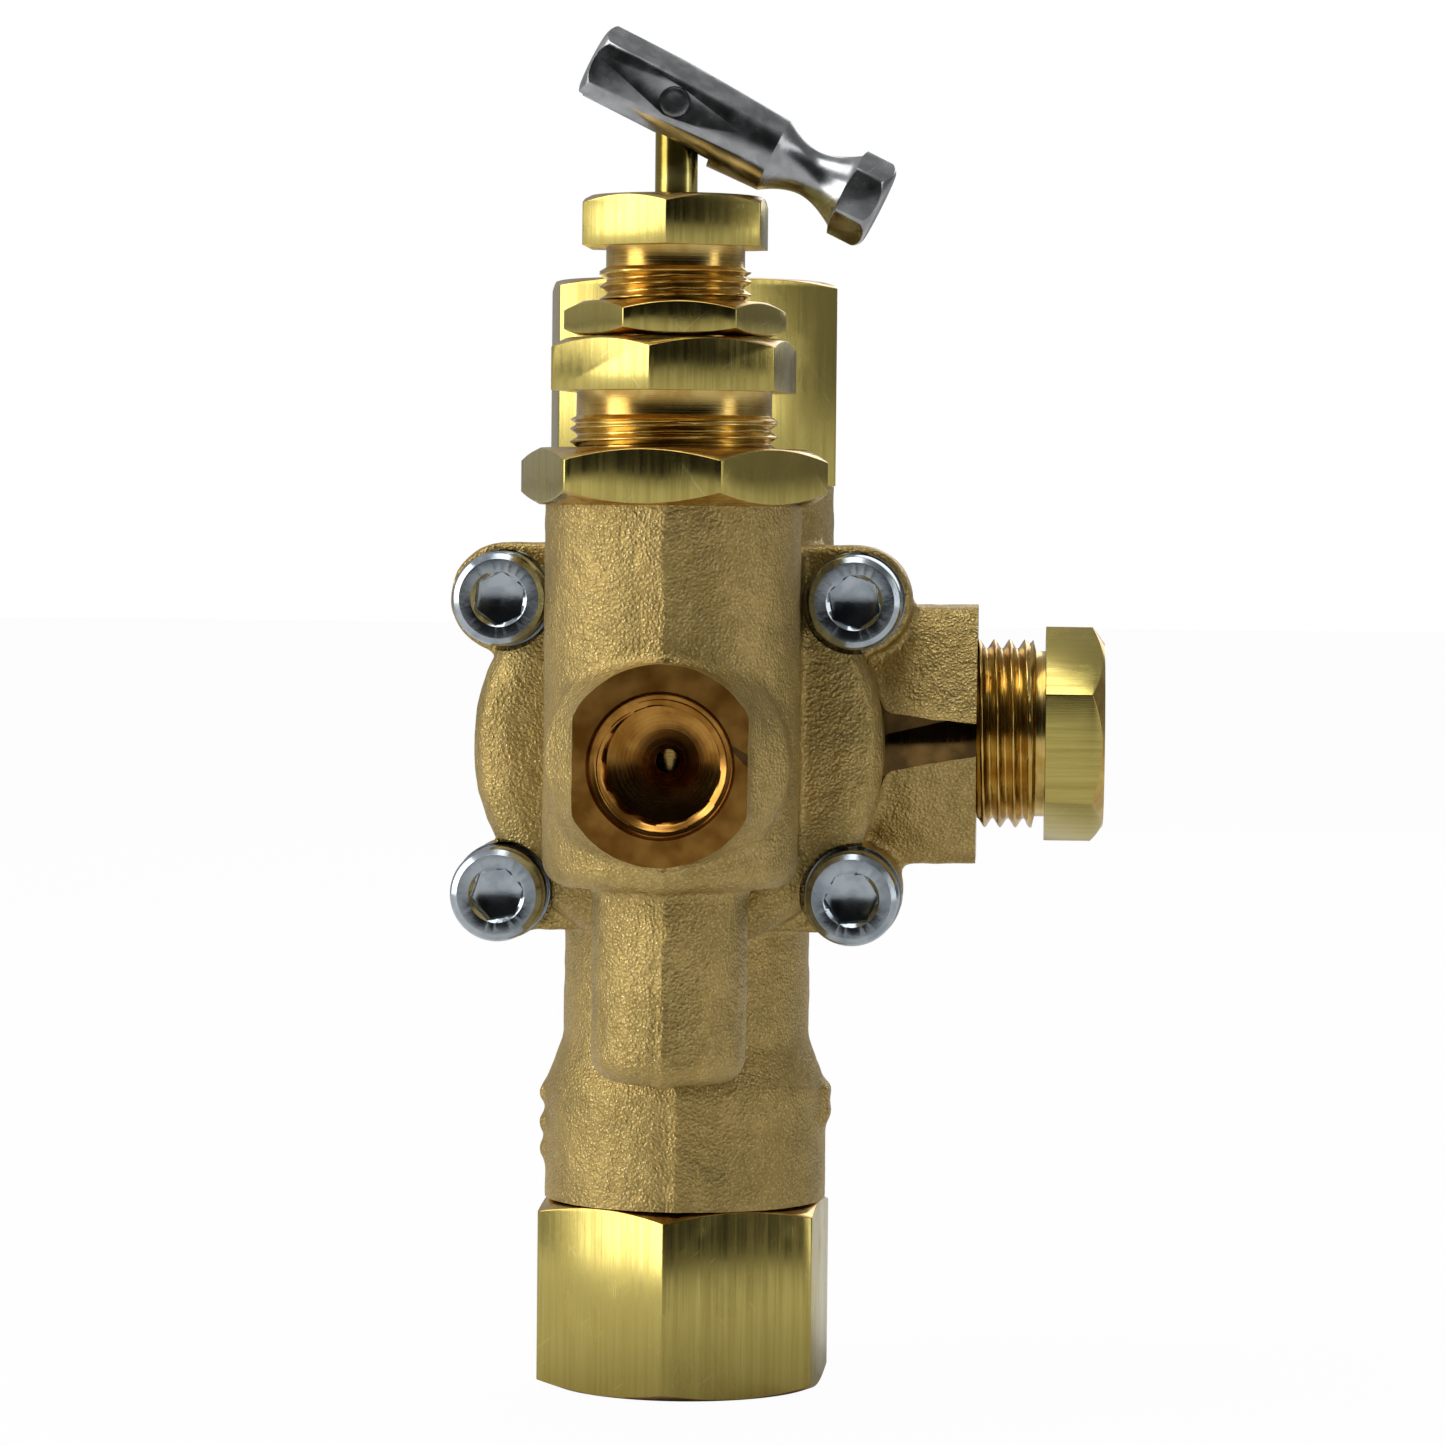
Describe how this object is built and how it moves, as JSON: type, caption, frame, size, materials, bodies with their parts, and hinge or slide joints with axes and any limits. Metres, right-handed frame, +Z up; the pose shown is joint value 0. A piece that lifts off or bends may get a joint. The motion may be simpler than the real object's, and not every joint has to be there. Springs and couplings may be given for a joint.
{
  "type": "three way valve",
  "caption": "Three way pilot unloader valve with check valve, hex pipe sockets at both ends, a side exhaust fitting and a toggle lever on the pilot.",
  "frame": {"origin": "centre of the inlet mouth, on the lower hex socket's end face", "axes": "+Z up the main bore towards the outlet, -Y towards the pilot, +X towards the exhaust fitting"},
  "size_m": [0.0665, 0.065, 0.1387],
  "materials": {
    "cast_brass": "sand cast and blasted, fine grain",
    "bar_brass": "drawn hex bar, turned chamfers",
    "turned_brass": "turned, bright",
    "zinc_steel": "blue zinc plated",
    "lever_steel": "polished, fine scratches",
    "yellow_zinc": "yellow zinc plated",
    "spring_steel": "bright spring wire",
    "seal_rubber": "nitrile, matt",
    "sintered_bronze": "sintered, porous"
  },
  "bodies": {
    "valve_body": {"main_body": "cast_brass", "inlet_adapter": "bar_brass", "inlet_o_ring": "seal_rubber", "outlet_adapter": "bar_brass", "outlet_o_ring": "seal_rubber", "check_guide": "turned_brass", "check_retaining_ring": "spring_steel", "check_spring": "spring_steel", "unloader_seat": "turned_brass", "unloader_spring": "spring_steel", "chamber_o_ring": "seal_rubber", "pilot_casting": "cast_brass", "cap_screws": "zinc_steel", "lock_washers": "zinc_steel", "pilot_bonnet": "bar_brass", "bonnet_lock_nut": "bar_brass", "adjuster_lock_nut": "bar_brass", "range_spring": "spring_steel", "pilot_seat": "turned_brass", "pilot_seat_o_ring": "seal_rubber", "pilot_strainer": "sintered_bronze", "exhaust_fitting": "bar_brass", "exhaust_screen": "spring_steel"},
    "check_valve": {"check_poppet": "turned_brass", "check_disc": "seal_rubber", "check_disc_screw": "zinc_steel"},
    "unloader": {"unloader_piston": "turned_brass", "piston_o_ring": "seal_rubber", "unloader_poppet": "turned_brass", "unloader_poppet_seal": "seal_rubber"},
    "ball": {"pilot_ball": "spring_steel"},
    "stem": {"pilot_stem": "yellow_zinc", "lower_spring_seat": "zinc_steel"},
    "lever": {"toggle_lever": "lever_steel", "toggle_pin": "lever_steel"},
    "spring_seat": {"upper_spring_seat": "zinc_steel"},
    "adjuster": {"adjusting_screw": "bar_brass", "stem_o_ring": "seal_rubber"}
  },
  "joints": [
    {"name": "check_lift", "type": "slide", "parent": "valve_body", "child": "check_valve", "axis": [0, 0, 1], "range_m": [0, 0.004], "stiffness_N_per_m": 200, "springref_m": -0.002, "deforming": ["check_spring"]},
    {"name": "unloader_push", "type": "slide", "parent": "valve_body", "child": "unloader", "axis": [0, 1, 0], "range_m": [0, 0.002], "stiffness_N_per_m": 800, "springref_m": -0.001, "deforming": ["unloader_spring"]},
    {"name": "stem_lift", "type": "slide", "parent": "valve_body", "child": "stem", "axis": [0, 0, 1], "range_m": [0, 0.0007], "deforming": ["range_spring"]},
    {"name": "toggle_swing", "type": "hinge", "parent": "stem", "child": "lever", "pos_m": [0, -0.0302, 0.131], "axis": [0, -1, 0], "range_deg": [0, 116.5]},
    {"name": "ball_lift", "type": "slide", "parent": "valve_body", "child": "ball", "axis": [0, 0, 1], "range_m": [0, 0.0007]},
    {"name": "adjuster_travel", "type": "slide", "parent": "valve_body", "child": "spring_seat", "axis": [0, 0, 1], "range_m": [-0.00148, 0], "deforming": ["range_spring"]},
    {"name": "adjuster_turn", "type": "hinge", "parent": "spring_seat", "child": "adjuster", "pos_m": [0, -0.0302, 0.11], "axis": [0, 0, 1], "range_deg": [-420, 0]}
  ],
  "couplings": [
    {"joint": "toggle_swing", "follows": "stem_lift", "rad_per_m": 2898.6},
    {"joint": "ball_lift", "follows": "stem_lift", "ratio": 0.8116},
    {"joint": "adjuster_turn", "follows": "adjuster_travel", "rad_per_m": 4947.3}
  ]
}
